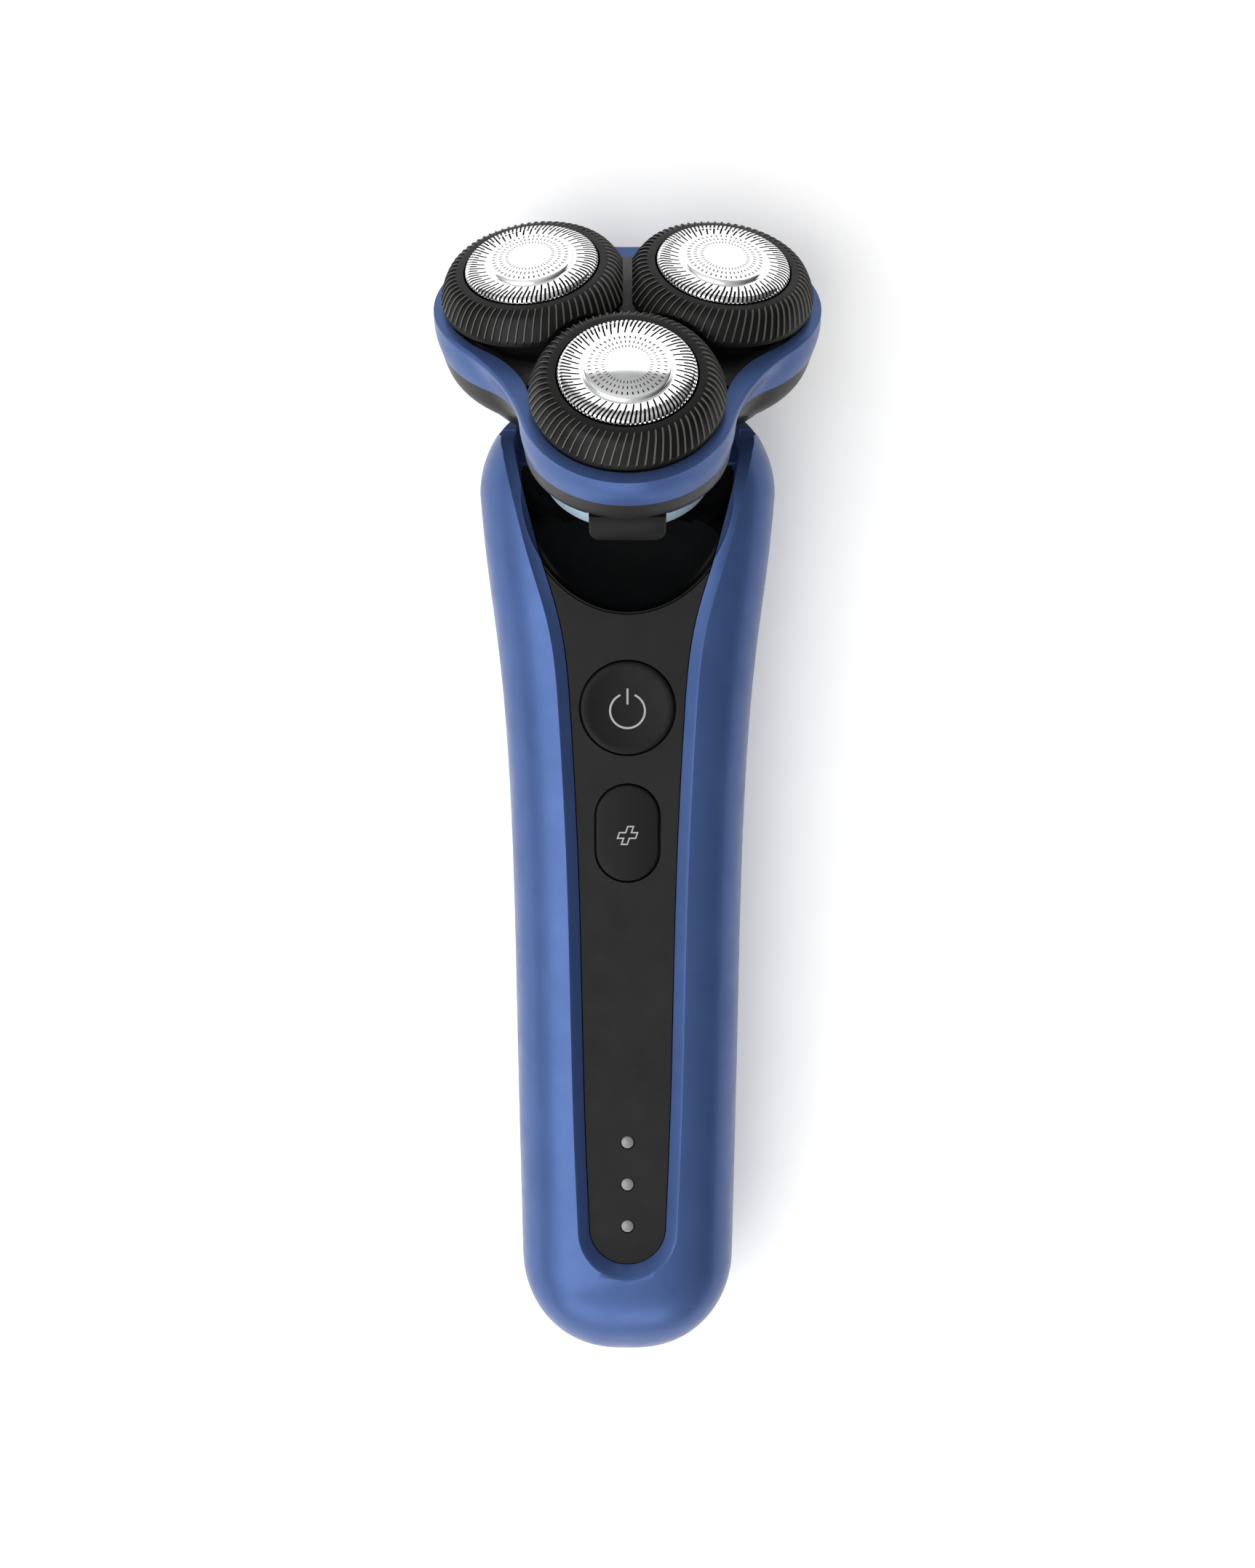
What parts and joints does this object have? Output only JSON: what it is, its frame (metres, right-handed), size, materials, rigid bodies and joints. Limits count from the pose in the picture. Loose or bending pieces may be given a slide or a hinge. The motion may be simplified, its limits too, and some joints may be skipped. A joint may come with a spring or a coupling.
{
  "type": "rotary electric shaver",
  "caption": "Cordless rotary shaver lying on its back: long rounded handle with two buttons and a forward-tilted, floating head with round slotted shaving caps.",
  "frame": {"origin": "middle of the flat strip that the handle's rear grip lies on, under the motor", "axes": "+Z out of the control face, +Y along the handle toward the head, +X to the right as the control face is seen with the head up"},
  "size_m": [0.0582, 0.1796, 0.0523],
  "materials": {
    "blue_shell": "satin metallic blue",
    "black_plastic": "matte",
    "gloss_black": "gloss",
    "carrier_black": "satin, ribbed",
    "rear_rubber": "matte, fine ribs",
    "cyan_trim": "satin",
    "grey_plastic": "matte",
    "white_plastic": "satin",
    "cap_metal": "polished, slotted",
    "cutter_steel": "ground",
    "steel": "satin",
    "brass": "satin",
    "cell_wrap": "shrink wrap",
    "board_green": "solder mask",
    "lamp_lens": "frosted"
  },
  "bodies": {
    "handle": {"front_housing": "blue_shell", "rear_housing": "blue_shell", "rear_grip": "rear_rubber", "control_panel": "black_plastic", "neck_bowl": "gloss_black", "inner_chassis": "grey_plastic", "battery_cell": "cell_wrap", "battery_tab_front": "steel", "battery_tab_rear": "steel", "circuit_board": "board_green", "power_switch": "grey_plastic", "mode_switch": "grey_plastic", "charge_lamp_1": "lamp_lens", "charge_lamp_2": "lamp_lens", "charge_lamp_3": "lamp_lens", "charge_socket": "black_plastic", "charge_pin_left": "brass", "charge_pin_right": "brass", "housing_screw_1": "steel", "housing_screw_2": "steel", "housing_screw_3": "steel", "housing_screw_4": "steel", "motor_can": "steel", "motor_end_cap": "white_plastic", "neck_tube": "grey_plastic", "neck_bush": "brass"},
    "power_button": {"power_button": "black_plastic"},
    "mode_button": {"mode_button": "black_plastic"},
    "armature": {"motor_armature": "steel", "bevel_pinion": "brass"},
    "neck_shaft": {"neck_shaft": "steel"},
    "gimbal": {"gimbal_ring": "steel", "gimbal_pin_right": "steel", "gimbal_pin_left": "steel", "gimbal_pin_rear": "steel", "gimbal_pin_front": "steel"},
    "head": {"head_base": "black_plastic", "neck_trim": "cyan_trim", "gear_cover": "grey_plastic", "hinge_pin": "steel"},
    "drive_hub": {"drive_hub": "white_plastic"},
    "latch": {"release_latch": "black_plastic"},
    "frame": {"head_frame": "blue_shell", "cutter_holder": "grey_plastic", "retaining_plate": "grey_plastic", "retaining_knob": "grey_plastic"},
    "spindle_front": {"spindle_front": "white_plastic"},
    "cap_front": {"cap_carrier_front": "carrier_black", "shaving_cap_front": "cap_metal"},
    "cutter_front": {"cutter_front": "cutter_steel"},
    "spindle_right": {"spindle_right": "white_plastic"},
    "cap_right": {"cap_carrier_right": "carrier_black", "shaving_cap_right": "cap_metal"},
    "cutter_right": {"cutter_right": "cutter_steel"},
    "spindle_left": {"spindle_left": "white_plastic"},
    "cap_left": {"cap_carrier_left": "carrier_black", "shaving_cap_left": "cap_metal"},
    "cutter_left": {"cutter_left": "cutter_steel"}
  },
  "joints": [
    {"name": "power_press", "type": "slide", "parent": "handle", "child": "power_button", "axis": [0, 0, -1], "range_m": [0, 0.0005], "stiffness_N_per_m": 2400, "springref_m": -0.0002},
    {"name": "mode_press", "type": "slide", "parent": "handle", "child": "mode_button", "axis": [0, 0, -1], "range_m": [0, 0.0005], "stiffness_N_per_m": 2400, "springref_m": -0.0002},
    {"name": "motor_spin", "type": "hinge", "parent": "handle", "child": "armature", "pos_m": [0, 0.0125, 0.01445], "axis": [0, 1, 0], "continuous": true},
    {"name": "neck_shaft_spin", "type": "hinge", "parent": "handle", "child": "neck_shaft", "pos_m": [0, 0.0511, 0.01445], "axis": [0, 0.766, 0.6428], "continuous": true},
    {"name": "head_pitch", "type": "hinge", "parent": "handle", "child": "gimbal", "pos_m": [0, 0.0511, 0.01445], "axis": [1, 0, 0], "range_deg": [-8, 8], "stiffness_Nm_per_rad": 0.45},
    {"name": "head_roll", "type": "hinge", "parent": "gimbal", "child": "head", "pos_m": [0, 0.0511, 0.01445], "axis": [0, 0.6428, -0.766], "range_deg": [-6, 6], "stiffness_Nm_per_rad": 0.45},
    {"name": "hub_spin", "type": "hinge", "parent": "head", "child": "drive_hub", "pos_m": [0, 0.0511, 0.01445], "axis": [0, 0.766, 0.6428], "continuous": true},
    {"name": "latch_press", "type": "slide", "parent": "head", "child": "latch", "axis": [0, 0.6428, -0.766], "range_m": [0, 0.0008], "stiffness_N_per_m": 1800, "springref_m": -0.0004},
    {"name": "frame_flip", "type": "hinge", "parent": "head", "child": "frame", "pos_m": [0, 0.07748, 0.00526], "axis": [-1, 0, 0], "range_deg": [0, 100]},
    {"name": "spindle_front_spin", "type": "hinge", "parent": "head", "child": "spindle_front", "pos_m": [0, 0.04824, 0.03279], "axis": [0, 0.766, 0.6428], "continuous": true},
    {"name": "cap_front_tilt", "type": "hinge", "parent": "frame", "child": "cap_front", "pos_m": [0, 0.05656, 0.0393], "axis": [1, 0, 0], "range_deg": [-3, 3], "stiffness_Nm_per_rad": 0.12},
    {"name": "cutter_front_spin", "type": "hinge", "parent": "cap_front", "child": "cutter_front", "pos_m": [0, 0.06202, 0.04515], "axis": [0, 0.682, 0.7314], "continuous": true},
    {"name": "spindle_right_spin", "type": "hinge", "parent": "head", "child": "spindle_right", "pos_m": [0.01376, 0.06356, 0.01453], "axis": [0, 0.766, 0.6428], "continuous": true},
    {"name": "cap_right_tilt", "type": "hinge", "parent": "frame", "child": "cap_right", "pos_m": [0.01345, 0.07153, 0.02146], "axis": [-0.5, 0.5567, -0.6634], "range_deg": [-3, 3], "stiffness_Nm_per_rad": 0.12},
    {"name": "cutter_right_spin", "type": "hinge", "parent": "cap_right", "child": "cutter_right", "pos_m": [0.01429, 0.07793, 0.02619], "axis": [0.1055, 0.7995, 0.5913], "continuous": true},
    {"name": "spindle_left_spin", "type": "hinge", "parent": "head", "child": "spindle_left", "pos_m": [-0.01376, 0.06356, 0.01453], "axis": [0, 0.766, 0.6428], "continuous": true},
    {"name": "cap_left_tilt", "type": "hinge", "parent": "frame", "child": "cap_left", "pos_m": [-0.01345, 0.07153, 0.02146], "axis": [-0.5, -0.5567, 0.6634], "range_deg": [-3, 3], "stiffness_Nm_per_rad": 0.12},
    {"name": "cutter_left_spin", "type": "hinge", "parent": "cap_left", "child": "cutter_left", "pos_m": [-0.01429, 0.07793, 0.02619], "axis": [-0.1055, 0.7995, 0.5913], "continuous": true}
  ],
  "couplings": [
    {"joint": "neck_shaft_spin", "follows": "motor_spin", "ratio": -1},
    {"joint": "hub_spin", "follows": "motor_spin", "ratio": -1},
    {"joint": "spindle_front_spin", "follows": "motor_spin", "ratio": 1.3333},
    {"joint": "cutter_front_spin", "follows": "motor_spin", "ratio": 1.3333},
    {"joint": "spindle_right_spin", "follows": "motor_spin", "ratio": 1.3333},
    {"joint": "cutter_right_spin", "follows": "motor_spin", "ratio": 1.3333},
    {"joint": "spindle_left_spin", "follows": "motor_spin", "ratio": 1.3333},
    {"joint": "cutter_left_spin", "follows": "motor_spin", "ratio": 1.3333}
  ]
}
